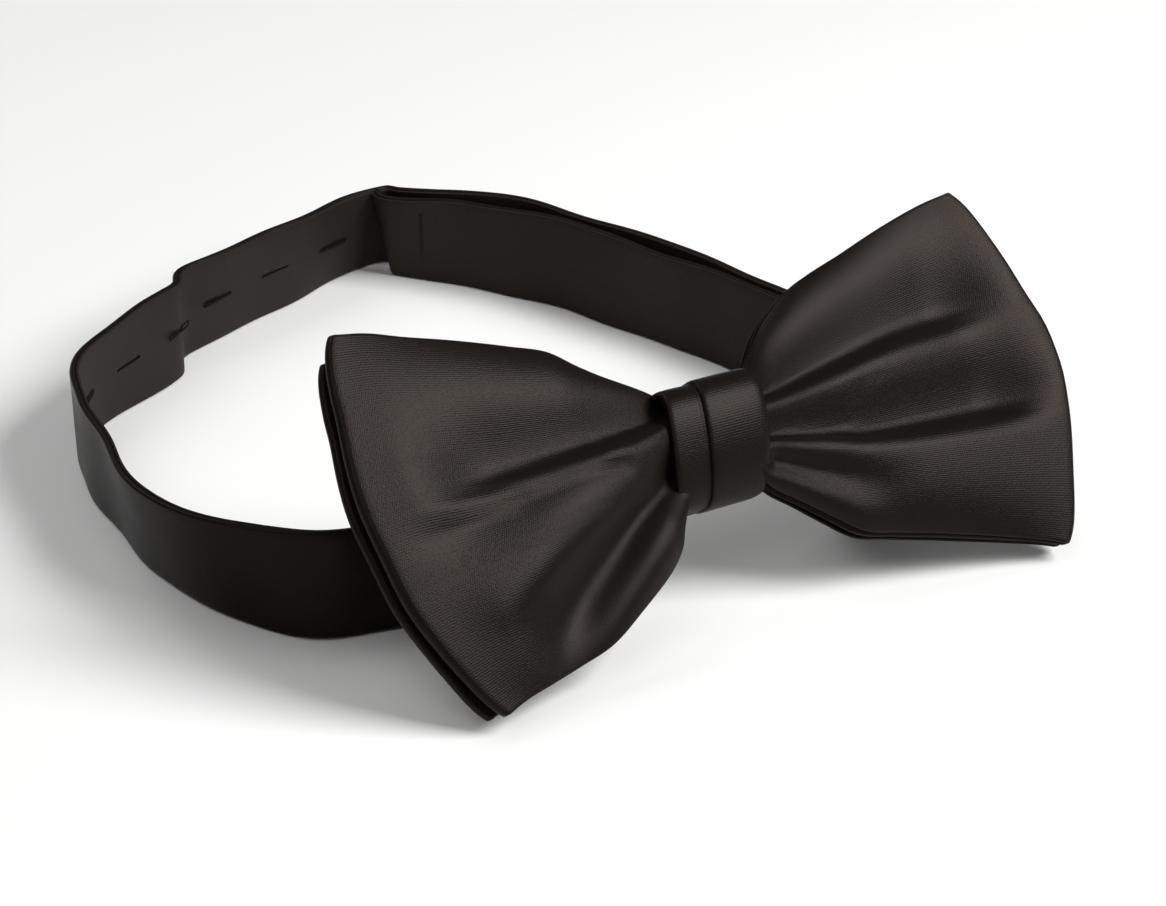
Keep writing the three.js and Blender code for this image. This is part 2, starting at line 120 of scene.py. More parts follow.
def cloth_coordinates(tree, turn=0.0):
    """The piece's own UV in millimetres of cloth, turned by an angle in degrees."""
    uv = tree.nodes.new("ShaderNodeUVMap")
    uv.uv_map = "Cloth"
    mapping = tree.nodes.new("ShaderNodeMapping")
    mapping.inputs["Rotation"].default_value = (0, 0, math.radians(turn))
    tree.links.new(uv.outputs[0], mapping.inputs[0])
    return mapping.outputs[0]


def ribs(tree, vector, pitch, distortion=0.6):
    """Fine parallel threads, `pitch` millimetres apart."""
    wave = tree.nodes.new("ShaderNodeTexWave")
    wave.wave_type, wave.bands_direction, wave.wave_profile = "BANDS", "X", "SIN"
    wave.inputs["Scale"].default_value = 0.31416 / pitch
    wave.inputs["Distortion"].default_value = distortion
    wave.inputs["Detail"].default_value = 1.0
    wave.inputs["Detail Scale"].default_value = 2.0
    tree.links.new(vector, wave.inputs["Vector"])
    return wave.outputs["Fac"]


def noise(tree, vector, scale, detail=2.0):
    texture = tree.nodes.new("ShaderNodeTexNoise")
    texture.inputs["Scale"].default_value = scale
    texture.inputs["Detail"].default_value = detail
    tree.links.new(vector, texture.inputs["Vector"])
    return texture.outputs["Fac"]


def maths(tree, operation, a, b):
    node = tree.nodes.new("ShaderNodeMath")
    node.operation = operation
    for value, socket in ((a, node.inputs[0]), (b, node.inputs[1])):
        if isinstance(value, (int, float)):
            socket.default_value = value
        else:
            tree.links.new(value, socket)
    return node.outputs[0]


def bump(tree, shader, height, distance, strength=1.0):
    node = tree.nodes.new("ShaderNodeBump")
    node.inputs["Distance"].default_value = distance / 1000
    node.inputs["Strength"].default_value = strength
    tree.links.new(height, node.inputs["Height"])
    tree.links.new(node.outputs[0], shader.inputs["Normal"])


def tinted(tree, shader, base, fac, low, high):
    """Base colour between `low` and `high` times `base`, by `fac`."""
    mix = tree.nodes.new("ShaderNodeMix")
    mix.data_type = "RGBA"
    mix.inputs["A"].default_value = (*(c * low for c in base[:3]), 1)
    mix.inputs["B"].default_value = (*(c * high for c in base[:3]), 1)
    tree.links.new(fac, mix.inputs["Factor"])
    tree.links.new(mix.outputs["Result"], shader.inputs["Base Color"])


def satin_material():
    material, tree, shader = nodes_for("Black satin")
    plain = cloth_coordinates(tree)
    weft = ribs(tree, cloth_coordinates(tree, 90), 0.42, 1.2)
    twill = ribs(tree, cloth_coordinates(tree, 24), 0.36, 0.8)
    slub = noise(tree, plain, 2.6, 4)
    height = maths(tree, "ADD", maths(tree, "MULTIPLY", weft, 0.25), maths(tree, "MULTIPLY", twill, 0.12))
    height = maths(tree, "ADD", height, maths(tree, "MULTIPLY", slub, 0.9))
    tinted(tree, shader, colour("satin"), slub, 0.6, 1.4)
    shader.inputs["Roughness"].default_value = 0.35
    shader.inputs["Specular IOR Level"].default_value = 0.1
    shader.inputs["Specular Tint"].default_value = (1.0, 0.86, 0.76, 1)
    bump(tree, shader, height, 0.045)
    return material


def lining_material():
    material, tree, shader = nodes_for("Black twill lining")
    twill = ribs(tree, cloth_coordinates(tree, 38), 0.5, 0.9)
    slub = noise(tree, cloth_coordinates(tree), 1.2, 3)
    height = maths(tree, "ADD", twill, maths(tree, "MULTIPLY", slub, 0.8))
    tinted(tree, shader, colour("lining"), maths(tree, "MULTIPLY", height, 0.55), 0.6, 1.4)
    shader.inputs["Roughness"].default_value = 0.6
    shader.inputs["Specular IOR Level"].default_value = 0.22
    shader.inputs["Specular Tint"].default_value = (1.0, 0.86, 0.76, 1)
    bump(tree, shader, height, 0.035)
    return material


def thread_material(name, key):
    material, tree, shader = nodes_for(name)
    shader.inputs["Base Color"].default_value = colour(key)
    shader.inputs["Roughness"].default_value = 0.6
    shader.inputs["Specular IOR Level"].default_value = 0.12
    return material


def wire_material():
    material, tree, shader = nodes_for("Nickel-plated wire")
    shader.inputs["Base Color"].default_value = colour("wire")
    shader.inputs["Metallic"].default_value = 1.0
    shader.inputs["Roughness"].default_value = 0.28
    return material


# ---------------------------------------------------------------- meshes
def mesh_from_grid(name, grid, uv, closed_along, material):
    """A mesh from closed cross-sections: `grid` is (stations, points round, 3) in millimetres in the row frame,
    `uv` is (stations + 1 if closed, points round + 1, 2) in millimetres of cloth."""
    along, around = grid.shape[:2]
    faces, face_uv = [], []
    for i in range(along if closed_along else along - 1):
        k = (i + 1) % along
        for j in range(around):
            m = (j + 1) % around
            faces.append((i * around + j, k * around + j, k * around + m, i * around + m))
            face_uv.append((uv[i, j], uv[i + 1, j], uv[i + 1, j + 1], uv[i, j + 1]))
    if not closed_along:
        last = (along - 1) * around
        faces.append(tuple(range(around)))
        face_uv.append(tuple(uv[0, j] for j in range(around)))
        faces.append(tuple(last + j for j in reversed(range(around))))
        face_uv.append(tuple(uv[-1, j] for j in reversed(range(around))))
    grid = np.concatenate([grid[..., :2], np.maximum(grid[..., 2:], 0.05)], axis=-1)  # it rests on the table
    mesh = bpy.data.meshes.new(name)
    mesh.from_pydata((grid.reshape(-1, 3) / 1000).tolist(), [], faces)
    layer = mesh.uv_layers.new(name="Cloth")
    layer.data.foreach_set("uv", np.concatenate([np.array(f, float).ravel() for f in face_uv]))
    mesh.shade_smooth()
    mesh.materials.append(material)
    mesh.validate()
    obj = bpy.data.objects.new(name, mesh)
    bpy.context.scene.collection.objects.link(obj)
    outward(obj)
    return obj


def outward(obj):
    """Turns the faces out if the closed mesh is inside out."""
    mesh = obj.data
    mesh.calc_loop_triangles()
    co = np.array([v.co for v in mesh.vertices])
    tri = np.array([t.vertices for t in mesh.loop_triangles])
    a, b, c = co[tri[:, 0]], co[tri[:, 1]], co[tri[:, 2]]
    if float((a * np.cross(b, c)).sum()) < 0:
        mesh.flip_normals()


def smooth_path(points, step):
    """A centripetal Catmull-Rom curve through points of any dimension, evenly spaced by its first two."""
    p = np.array(points, float)
    p = np.vstack([2 * p[0] - p[1], p, 2 * p[-1] - p[-2]])
    dense = []
    for i in range(1, len(p) - 2):
        a, b, c, d = p[i - 1 : i + 3]
        t = np.cumsum([0] + [max(np.linalg.norm((n - m)[:2]), 1e-6) ** 0.5 for m, n in ((a, b), (b, c), (c, d))])
        s = np.linspace(t[1], t[2], 24, endpoint=False)[:, None]
        a1 = (t[1] - s) / (t[1] - t[0]) * a + (s - t[0]) / (t[1] - t[0]) * b
        a2 = (t[2] - s) / (t[2] - t[1]) * b + (s - t[1]) / (t[2] - t[1]) * c
        a3 = (t[3] - s) / (t[3] - t[2]) * c + (s - t[2]) / (t[3] - t[2]) * d
        b1 = (t[2] - s) / (t[2] - t[0]) * a1 + (s - t[0]) / (t[2] - t[0]) * a2
        b2 = (t[3] - s) / (t[3] - t[1]) * a2 + (s - t[1]) / (t[3] - t[1]) * a3
        dense.append((t[2] - s) / (t[2] - t[1]) * b1 + (s - t[1]) / (t[2] - t[1]) * b2)
    dense = np.vstack(dense + [p[-2][None]])
    run = np.concatenate([[0], np.cumsum(np.linalg.norm(np.diff(dense[:, :2], axis=0), axis=1))])
    at = np.linspace(0, run[-1], max(2, int(round(run[-1] / step)) + 1))
    return np.stack([np.interp(at, run, dense[:, k]) for k in range(p.shape[1])], axis=1), at


def unit(v):
    return v / np.maximum(np.linalg.norm(v, axis=-1, keepdims=True), 1e-9)


def bow_to_row(x, u, d):
    """Bow space to the row frame, in millimetres."""
    lean = math.radians(sizes().lean)
    y = d * math.cos(lean) + u * math.sin(lean)
    z = -d * math.sin(lean) + u * math.cos(lean)
    return np.stack(np.broadcast_arrays(x, y, z), axis=-1) + ORIGIN


# ---------------------------------------------------------------- the bow
# Outlines of a wing in bow space, from the knot to the side: top edge, side from top to bottom, bottom edge.
LEFT = {
    "top": [(-5.5, 9.4), (-8.3, 11.1), (-15.4, 15.1), (-19.1, 17.6), (-23.3, 20.8), (-28.9, 22.9), (-38.5, 26.1),
            (-46.5, 28.4), (-52.9, 30.3), (-59.1, 31.2)],
    "side": [(-59.1, 31.2), (-60.5, 22.8), (-60.9, 18.8), (-62, 11.1), (-62.3, 4.8), (-61.5, -3.4),
             (-60.3, -11.6), (-57.8, -18.6), (-55, -24.9), (-52.5, -30.6)],
    "bottom": [(-6, -6.2), (-8.8, -8.0), (-10.9, -10.9), (-12.7, -14.1), (-15.6, -16.9), (-22.9, -21.4), (-30, -25.2),
               (-36.1, -26.8), (-42, -28.1), (-47.9, -29.3), (-52.5, -30.6)],
}
RIGHT = {
    "top": [(7, 8.6), (10.4, 10.5), (15.8, 16.2), (23.9, 21.3), (35.5, 24.8), (44.7, 27.4), (54, 29.4),
            (61, 30.2)],
    "side": [(61, 30.2), (62.3, 26.8), (65.3, 17.2), (66.8, 11), (68.3, 5.2), (68.5, 0.7), (68.2, -3.7),
             (66.2, -11.3), (62.5, -20.9), (58.7, -30.5)],
    "bottom": [(6, -7), (8.4, -9.5), (11.6, -11.9), (16, -15.5), (21.2, -19.4), (27.5, -21.2), (36.5, -23.7),
               (45.6, -26.4), (54.8, -29.2), (58.7, -30.5)],
}
# Pleats in bow space: a line along the pleat, its half-width above and below the line, and how far it stands
# forward (+) or sinks (-) at the knot and at its far end.
PLEATS = [
    # left wing, from the top down
    ([(-6, 6.9), (-13, 6.3), (-24, 5.7), (-37, 5.0), (-46, 4.4)], (9.4, 2.6), (-2.6, -2.9)),
    ([(-7, 4.6), (-15, 3.0), (-24, 0.6), (-34, -2.2)], (2.6, 4.0), (0.6, 0.4)),
    ([(-19, 3.3), (-26.5, 3.4), (-38, 1.9), (-52, 1.0)], (1.3, 0.8), (0.4, 0.45)),
    ([(-18, 1.6), (-26.5, 1.7), (-38, 0.1), (-51, -0.9)], (0.9, 4.6), (-0.9, -1.4)),
    ([(-12, -3.2), (-20.5, -5.4), (-29, -8.6), (-37, -11.8), (-46, -15)], (4.4, 2.4), (0.3, 0.8)),
    ([(-7.9, -2.4), (-15, -6.4), (-22, -11), (-30, -16.3), (-38, -21)], (6.4, 5.0), (-2.8, -3.2)),
    ([(-9.5, -10), (-14, -14), (-22, -19), (-32, -24.5)], (5, 6), (0.6, 0.3)),
    # right wing
    ([(9, 5.9), (15.3, 6.6), (27, 8.6), (40.8, 10.8), (57, 11.8)], (10.2, 2.4), (-2.9, -3.9)),
    ([(30, 3.6), (36.2, 5.4), (46.6, 6.0), (57.2, 6.4)], (1.5, 1.6), (-0.3, -0.3)),
    ([(9, -0.2), (19.3, -2.0), (26.7, -3.6), (34.7, -4.5), (48, -5.2), (60, -5.6)], (10.5, 1.8), (-3.1, -4.2)),
    ([(10.2, -4.6), (14.8, -6.9), (21.2, -9.8), (29, -13.2)], (2.6, 5.0), (-1.8, -1.2)),
]


def pleated(x, u):
    """How far the cloth stands forward at a place on the bow's face."""
    total = np.zeros_like(x)
    for line, (above, below), (near, far) in PLEATS:
        p, _ = smooth_path(line, 1.0)
        side = math.copysign(1, p[-1, 0])
        order = np.argsort(np.abs(p[:, 0]))
        run = side * x
        ax, au = np.abs(p[order, 0]), p[order, 1]
        mid = np.interp(run, ax, au)
        first, last = ax[0], ax[-1]
        share = np.clip((run - first) / (last - first), 0, 1)
        depth = near + (far - near) * share**0.75
        fade = np.clip((run - first + 4) / 4, 0, 1) * np.clip((last + 9 - run) / 18, 0, 1)
        fade = fade * fade * (3 - 2 * fade) * (run > 0)
        away = (u - mid) / np.where(u > mid, above, below) / (0.5 + 0.75 * share)
        total += depth * fade * np.exp(-(away**2))
    return total * sizes().pleats


def wing_grid(outline, across, share):
    """Places on a wing's face in bow space: rows go out from the knot by `share`, columns up by `across`."""
    top, _ = smooth_path(outline["top"], 0.5)
    bottom, _ = smooth_path(outline["bottom"], 0.5)
    side, _ = smooth_path(outline["side"][::-1], 0.5)

    def along(path, at):
        k = at * (len(path) - 1)
        return np.stack([np.interp(k, np.arange(len(path)), path[:, c]) for c in range(2)], axis=-1)

    w = (across + 1)[None, :, None] / 2
    t, b = along(top, share)[:, None], along(bottom, share)[:, None]
    flat = b * (1 - w) + t * w
    bulge = along(side, (across + 1) / 2)[None] - (along(bottom, 1.0) * (1 - w[0]) + along(top, 1.0) * w[0])[None]
    return flat + bulge * (share[:, None, None] ** 2.2)


def loop_shape(front, rows=78, columns=46, arc=7):
    """Middle surface of one bow loop: out along the front of the right wing, back behind it, then the left."""
    across = np.sin(np.linspace(-1, 1, columns) * math.pi / 2 * 0.92) / math.sin(math.pi / 2 * 0.92)
    share = np.linspace(0, 1, rows) ** 1.1
    s = sizes()
    sign = -1 if front else 1
    pieces = []
    for outline, side in ((RIGHT, 1), (LEFT, -1)):
        face = wing_grid(outline, across, share)
        x, u = face[..., 0].copy(), face[..., 1].copy()
        if not front:
            longer = 2.7 if side < 0 else -1.2
            x += side * longer * share[:, None] ** 2
            u -= (3.7 if side < 0 else 2.0) * (share[:, None] ** 1.5) * np.clip(across + 0.2, 0, 1)[None]
        reach = np.repeat(share[:, None], columns, axis=1)
        swell = np.sin(math.pi * reach) * (1 - 0.55 * across[None] ** 2)
        bunch = (1.95 if front else 1.35) * (1 - 0.5 * across[None] ** 4)
        radius = s.fold_radius * (1.0 if front else 0.75) * (1 - 0.35 * across[None] ** 2)
        half = bunch + (radius - bunch) * reach**1.5 + (s.layer_gap - 1.0) * swell
        rolled = -1.5 * np.abs(across[None]) ** 5 * np.sin(math.pi * np.clip(0.12 + reach * 0.75, 0, 1))
        cup = 2.2 * reach**2 * (1 - 0.25 * across[None] ** 2)
        inside = np.clip((np.abs(x) - 6.5) / 3.5, 0, 1)
        pleats = pleated(x, u)
        pleats = np.where(pleats > 0, pleats * inside, pleats)
        if not front:
            pleats = pleats * 0.5
        forward = pleats + rolled + cup
        middle = sign * (half + 0.35 + 0.6 * reach**1.5) - forward
        if front:  # the outlines lie in the bow's middle plane, and this face stands in front of it
            ahead = 1.6 * half + 0.35 + cup + rolled
            x, u = x - 0.6 * ahead, u - 0.167 * ahead
        back = pleats * (0.75 - 0.35 * reach)
        x_in = x - side * (radius * reach**6 + 1.3 * reach**10 * np.abs(across[None]) ** 14)
        out = np.stack([x_in, u, middle - half], -1)
        home = np.stack([x_in, u, middle + half + back], -1)
        bend = []
        for angle in np.linspace(90, -90, arc + 2)[1:-1]:
            a = math.radians(angle)
            bend.append(
                np.stack([
                    x_in[-1] + side * radius[0] * math.cos(a),
                    u[-1],
                    middle[-1] - half[-1] * math.sin(a),
                ], -1)
            )
        pieces.append(np.concatenate([out, np.array(bend), home[::-1]]) if side > 0 else
                      np.concatenate([home, np.array(bend)[::-1], out[::-1]]))
    return np.concatenate(pieces)


def cloth_ring(name, p, half, material):
    """A closed band of cloth from its middle surface in bow space, with rounded hems."""
    q = bow_to_row(p[..., 0], p[..., 1], p[..., 2])
    ds = np.roll(q, -1, 0) - np.roll(q, 1, 0)
    dv = np.gradient(q, axis=1)
    n = unit(np.cross(ds, dv))
    for _ in range(2):
        n = unit(n + 0.5 * (np.roll(n, 1, 0) + np.roll(n, -1, 0)))
    e = unit(dv)
    one, two = q + n * half, q - n * half
    hems = []
    for edge, sign in ((-1, 1), (0, -1)):
        angles = (45, 90, 135) if edge == -1 else (135, 90, 45)
        hems.append([q[:, edge] + n[:, edge] * half * math.cos(math.radians(a))
                     + sign * e[:, edge] * half * math.sin(math.radians(a)) for a in angles])
    grid = np.concatenate([one, np.stack(hems[0], 1), two[:, ::-1], np.stack(hems[1], 1)], axis=1)
    return mesh_from_grid(name, grid, ring_uv(grid), True, material)


def ring_uv(grid):
    """Millimetres along and round a closed band, measured where the band is widest."""
    step_s = np.linalg.norm(np.roll(grid, -1, 0) - grid, axis=-1).max(1)
    step_v = np.linalg.norm(np.roll(grid, -1, 1) - grid, axis=-1).max(0)
    s = np.concatenate([[0], np.cumsum(step_s)])
    v = np.concatenate([[0], np.cumsum(step_v)])
    return np.stack(np.meshgrid(s, v, indexing="ij"), -1)


class BOWTIE_OT_bow(bpy.types.Operator):
    bl_idname = "bowtie.bow"
    bl_label = "Bow loops"

    def execute(self, context):
        half = sizes().satin_thickness / 2
        for name, front in (("front_bow", True), ("rear_bow", False)):
            obj = cloth_ring(name, loop_shape(front), half, satin_material())
            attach(obj, "bow_and_band")
            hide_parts(f"{name}_satin", f"{name}_interlining")
        return {"FINISHED"}


# ---------------------------------------------------------------- the knot
def knot_grid():
    """The pleated wrap: closed sections in bow space, from its left end to its right end."""
    section = []
    for a in np.linspace(0, 2 * math.pi, 72, endpoint=False):
        c, s_ = math.cos(a), math.sin(a)
        power = 0.74 if c < 0 else 0.45  # squarer behind, where the flat neckband fills it
        d = math.copysign(abs(c) ** power, c)
        u = math.copysign(abs(s_) ** power, s_)
        section.append((d * (KNOT_REAR if d > 0 else KNOT_FRONT), u * KNOT_HALF_HEIGHT))
    section = np.array(section)
    rings = []
    pleat = KNOT_PLEAT
    stations = np.concatenate([
        [-7.4, -8.1, -8.65, -9.0, -9.15, -9.05, -8.7, -8.2, -7.4], np.linspace(-6.5, pleat - 0.5, 8),
        [pleat - 0.2, pleat - 0.06, pleat - 0.02, pleat + 0.02, pleat + 0.1, pleat + 0.35, pleat + 0.8],
        np.linspace(pleat + 1.8, 7.2, 9), [8.0, 8.6, 9.0, 9.2, 9.1, 8.7, 8.1, 7.4],
    ])
    lift = np.concatenate([
        [-3.4, -2.6, -1.7, -0.95, -0.45, -0.12, 0.05, 0.1, 0.1], np.linspace(0.1, -0.05, 8),
        [0.06, -0.04, -0.04, 0.3, 0.5, 0.6, 0.65], np.linspace(0.65, 0.6, 9),
        [0.5, 0.35, 0.1, -0.3, -0.9, -1.8, -2.6, -3.4],
    ])
    angle = np.arctan2(section[:, 1], -section[:, 0])  # 0 at the front
    front = np.clip(np.cos(angle) + 0.35, 0, 1) ** 0.5
    size = np.hypot(*section.T)
    for x, up in zip(stations, lift):
        bulge = 1 + (up + 0.4 * np.cos(angle) * np.cos(x / 9 * 0.9) * front) / size
        edge = np.clip(up, -1.2, 0)
        bulge = np.where(front > 0, bulge, 1 + (0.25 + edge) / size)
        bulge = bulge * front + (1 + (0.25 + edge) / size) * (1 - front)
        d, u = section[:, 0] * bulge, section[:, 1] * bulge
        d = d - 0.2 * u * front
        skew = 0.14 * u - 0.010 * u**2 * np.sign(x) * (abs(x) / 9)
        waist = -0.35 * np.cos(angle) * np.sign(x) * (abs(x) / 9) ** 2
        rings.append(np.stack([x * 1.03 + KNOT_CENTRE + skew + waist, u + KNOT_RAISE, d], -1))
    return np.array(rings)


def drawn_in(rings, by):
    """The same sections, each drawn in towards its middle by a distance."""
    middle = rings.mean(1, keepdims=True)
    offset = rings - middle
    return middle + offset * (1 - by / np.linalg.norm(offset, axis=-1, keepdims=True))


def waist_grid(outer):
    """Five turns of thread round both loops, inside the knot and in front of the neckband."""
    first, last = outer[TURNED_IN + 4], outer[-TURNED_IN - 5]
    t = np.linspace(0.1, 0.75, 31)[:, None, None]
    rings = first + (last - first) * t
    turns = 1.3 - 0.12 * np.abs(np.sin(5 * math.pi * (t - 0.1) / 0.65))
    grid = np.concatenate([drawn_in(rings, turns), drawn_in(rings, 1.7)[::-1]])
    grid[..., 2] = np.minimum(grid[..., 2], WAIST_BACK)
    grid[31:, :, 2] = np.minimum(grid[31:, :, 2], WAIST_BACK - 0.4)
    return grid


class BOWTIE_OT_knot(bpy.types.Operator):
    bl_idname = "bowtie.knot"
    bl_label = "Knot"

    def execute(self, context):
        outer = knot_grid()
        p = np.concatenate([outer, drawn_in(outer[TURNED_IN:-TURNED_IN][::-1], KNOT_PLY)])
        grid = bow_to_row(p[..., 0], p[..., 1], p[..., 2])
        obj = mesh_from_grid("knot", grid, ring_uv(grid), True, satin_material())
        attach(obj, "bow_and_band")
        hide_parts("knot_wrap", "knot_interlining")

        black = thread_material("Black sewing thread", "thread")
        p = waist_grid(outer)
        grid = bow_to_row(p[..., 0], p[..., 1], p[..., 2])
        waist = mesh_from_grid("waist_thread", grid, ring_uv(grid), True, black)
        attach(waist, "bow_and_band")
        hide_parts("waist_binding")

        # The knot closes behind the neckband, in a seam sewn across its back.
        out = unit(bow_to_row(0.0, 0.0, 1.0) - bow_to_row(0.0, 0.0, 0.0))
        line = [bow_to_row(x, KNOT_RAISE, KNOT_BACK) for x in np.linspace(-8, 6, 15)]
        ladder = {"Pitch": 1.0, "Length": 1.3, "Thickness": 0.26, "Turn": 90, "Unevenness": 8, "Seed": 11}
        seam = stitched("knot_seam", [(line, out, False)], ladder, black)
        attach(seam, "bow_and_band")
        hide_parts("knot_seam_stitching")
        return {"FINISHED"}


# ---------------------------------------------------------------- the neckband
def on_tail(along, inward=0.0):
    return CREASE + TAIL_WAY * along + TAIL_INWARD * inward


# Plan x, y, then the lean of the band's top towards the neck in degrees, and how far it has risen to the knot.
LONG_BAND = [
    (0.6, 3.7, 41, 1), (-5.5, 3.7, 41, 1), (-11, 3.7, 41, 1), (-18, 6, 37, 0.9), (-30, 9.6, 21, 0.44),
    (-41, 12.2, 12, 0.06), (-52, 15, 10, 0), (-62, 18.6, 7, 0), (-69.8, 26.5, -3, 0), (-73.2, 34.5, -9, 0),
    (-75, 47, -14, 0), (-73, 63, -9, 0), (-69.8, 79, -4, 0), (-66.2, 88.5, -2, 0), (-58.6, 97.3, 0, 0),
    (-46, 104.8, -3, 0), (-39.4, 108.3, -2, 0), (-36.4, 109.9, -1, 0), (-35.0, 111.4, 0, 0), (-33.9, 113.3, 0, 0),
    (-32.4, 114.9, 1, 0), (-26.5, 117.4, 3, 0), (-14.4, 122.2, 6, 0), (0, 127.0, 9, 0), (9.5, 130.1, 12, 0),
    (17.2, 132.1, 14, 0), (19.6, 132.0, 14, 0), (*on_tail(2.4), 14, 0), (*on_tail(9), 11, 0),
    (31, 120.8, 7, 0), (36.8, 112.2, 2, 0), (43.6, 97.5, 0, 0), (50.2, 78.4, -1, 0), (54.4, 58.5, 0, 0),
    (55.4, 51.7, 0, 0),
]
SHORT_BAND = [
    (*on_tail(0.7, 2.9), 14, 0), (*on_tail(0.75, 3.8), 14, 0), (*on_tail(1.5, 4.8), 14, 0),
    (*on_tail(3.0, 5.2), 14, 0), (*on_tail(9, 5.2), 11, 0), (*on_tail(15, 5.2), 7, 0), (32.3, 110.2, 2, 0),
    (38.2, 100.6, 0, 0), (44.8, 81.6, 1, 0), (50.4, 63, 0, 0), (54.5, 42, 0, 0), (53, 28, 2, 0),
    (45, 17.5, 6, 0), (30, 10.6, 20, 0.44), (18, 6, 37, 0.9), (11, 3.7, 41, 1), (5.5, 3.7, 41, 1),
    (1.2, 3.7, 41, 1),
]


def band_frames(points, step=1.1):
    """Places, directions and side vectors along a band, in the row frame, with the distance run."""
    path, run = smooth_path(points, step)
    lean = np.radians(path[:, 2])
    width, thick = sizes().band_width, sizes().band_thickness
    rest = width / 2 * np.cos(lean) + thick / 2 * np.abs(np.sin(lean))
    knot_z = ORIGIN[2] - 4.9 * math.sin(math.radians(sizes().lean))
    z = rest * (1 - path[:, 3]) + knot_z * path[:, 3]
    p = np.column_stack([path[:, 0] + ORIGIN[0], path[:, 1] + ORIGIN[1], z])
    way = unit(np.gradient(p, axis=0))
    level = unit(np.column_stack([way[:, 1], -way[:, 0], np.zeros(len(p))]))
    window = np.exp(-(np.linspace(-2, 2, 21) ** 2))
    window /= window.sum()
    padded = np.pad(level, ((10, 10), (0, 0)), mode="edge")
    steady = unit(np.column_stack([np.convolve(padded[:, c], window, mode="valid") for c in range(3)]))
    up = steady * np.sin(lean)[:, None] + np.array([0, 0, 1]) * np.cos(lean)[:, None]
    rising = np.clip(path[:, 3:] * 5, 0, 1)  # where the band climbs to the knot it stays square to its run
    up = unit(up - way * (up * way).sum(1, keepdims=True) * rising)
    return {"p": p, "way": way, "up": up, "in": unit(np.cross(way, up)), "run": run}


def frame_at(frames, distance):
    out = {k: np.array([np.interp(distance, frames["run"], frames[k][:, c]) for c in range(3)])
           for k in ("p", "way", "up", "in")}
    return {k: (v if k == "p" else unit(v)) for k, v in out.items()}


def rounded_section(wide, near, far, across=14):
    """A flat rounded section as (across the band, inward) pairs."""
    r = (far - near) / 2
    mid = (far + near) / 2
    line = np.linspace(-(wide / 2 - r), wide / 2 - r, across)
    arcs = [math.radians(a) for a in (60, 30, 0, -30, -60)]
    top = [(wide / 2 - r + r * math.cos(a), mid + r * math.sin(a)) for a in arcs]
    bottom = [(-(wide / 2 - r) - r * math.cos(a), mid - r * math.sin(a)) for a in arcs]
    return [(w, far) for w in line] + top + [(w, near) for w in line[::-1]] + bottom


def band_mesh(name, frames, section, material, ripple=None):
    w = np.array([s[0] for s in section])[None, :, None]
    o = np.array([s[1] for s in section])[None, :, None]
    # The knot squeezes the neckband, and draws it up a little.
    far = np.linalg.norm(frames["p"] - bow_to_row(KNOT_CENTRE, 0.0, KNOT_BACK), axis=1)
    squeezed = np.exp(-((far / 12) ** 2))[:, None, None]
    w = w * (1 - 0.2 * squeezed) + 0.55 * squeezed
    grid = frames["p"][:, None] + frames["up"][:, None] * w + frames["in"][:, None] * o
    if ripple is not None:
        grid = grid + frames["in"][:, None] * ripple(frames["run"][:, None], w[..., 0])[..., None]
    sec = np.array(section)
    v = np.concatenate([[0], np.cumsum(np.linalg.norm(np.roll(sec, -1, 0) - sec, axis=1))])
    uv = np.stack(np.meshgrid(frames["run"], v, indexing="ij"), -1)
    return mesh_from_grid(name, grid, uv, False, material)


def soft_ripple(seed, depth):
    rng = np.random.default_rng(seed)
    waves = [(rng.uniform(18, 46), rng.uniform(0, 6.28), rng.uniform(-0.4, 0.4)) for _ in range(5)]

    def ripple(run, w):
        total = sum(np.sin(run / length * 6.28 + phase + slope * w / 4) for length, phase, slope in waves)
        return depth * total / 5 * (0.5 + np.abs(w) / 9)

    return ripple


def stadium(length, high, n=10):
    a = np.linspace(-90, 90, n) * math.pi / 180
    r = high / 2
    right = [(length / 2 - r + r * math.cos(t), r * math.sin(t)) for t in a]
    return right + [(-x, -y) for x, y in right]


def cut_slots(obj, frames, distances, openings, depth):
    """Cuts a slot through a band at each distance."""
    verts, faces = [], []
    for distance, high in zip(distances, openings):
        f = frame_at(frames, distance)
        ring = stadium(sizes().slot_length, high)
        base = len(verts)
        for side in (-depth, depth):
            verts += [tuple((f["p"] + f["way"] * a + f["up"] * b + f["in"] * side) / 1000) for a, b in ring]
        n = len(ring)
        faces += [(base + i, base + (i + 1) % n, base + n + (i + 1) % n, base + n + i) for i in range(n)]
        faces += [tuple(base + i for i in reversed(range(n))), tuple(base + n + i for i in range(n))]
    mesh = bpy.data.meshes.new("slots")
    mesh.from_pydata(verts, [], faces)
    cutter = bpy.data.objects.new("slots", mesh)
    bpy.context.scene.collection.objects.link(cutter)
    outward(cutter)
    modifier = obj.modifiers.new("Slots", "BOOLEAN")
    modifier.operation, modifier.object, modifier.solver = "DIFFERENCE", cutter, "EXACT"
    depsgraph = bpy.context.evaluated_depsgraph_get()
    obj.data = bpy.data.meshes.new_from_object(obj.evaluated_get(depsgraph))
    obj.modifiers.clear()
    bpy.data.objects.remove(cutter)


def slot_places(frames):
    """Distances of the slots along the long band: before the crease, and on the tail."""
    crease = frames["run"][int(np.argmin(np.hypot(frames["p"][:, 0] - ORIGIN[0] - CREASE[0],
                                                  frames["p"][:, 1] - ORIGIN[1] - CREASE[1])))]
    pitch = sizes().slot_pitch
    before = [crease - 14.2 - i * pitch for i in range(5, -1, -1)]
    return before, [crease + 5.4 + i * pitch for i in range(5)]


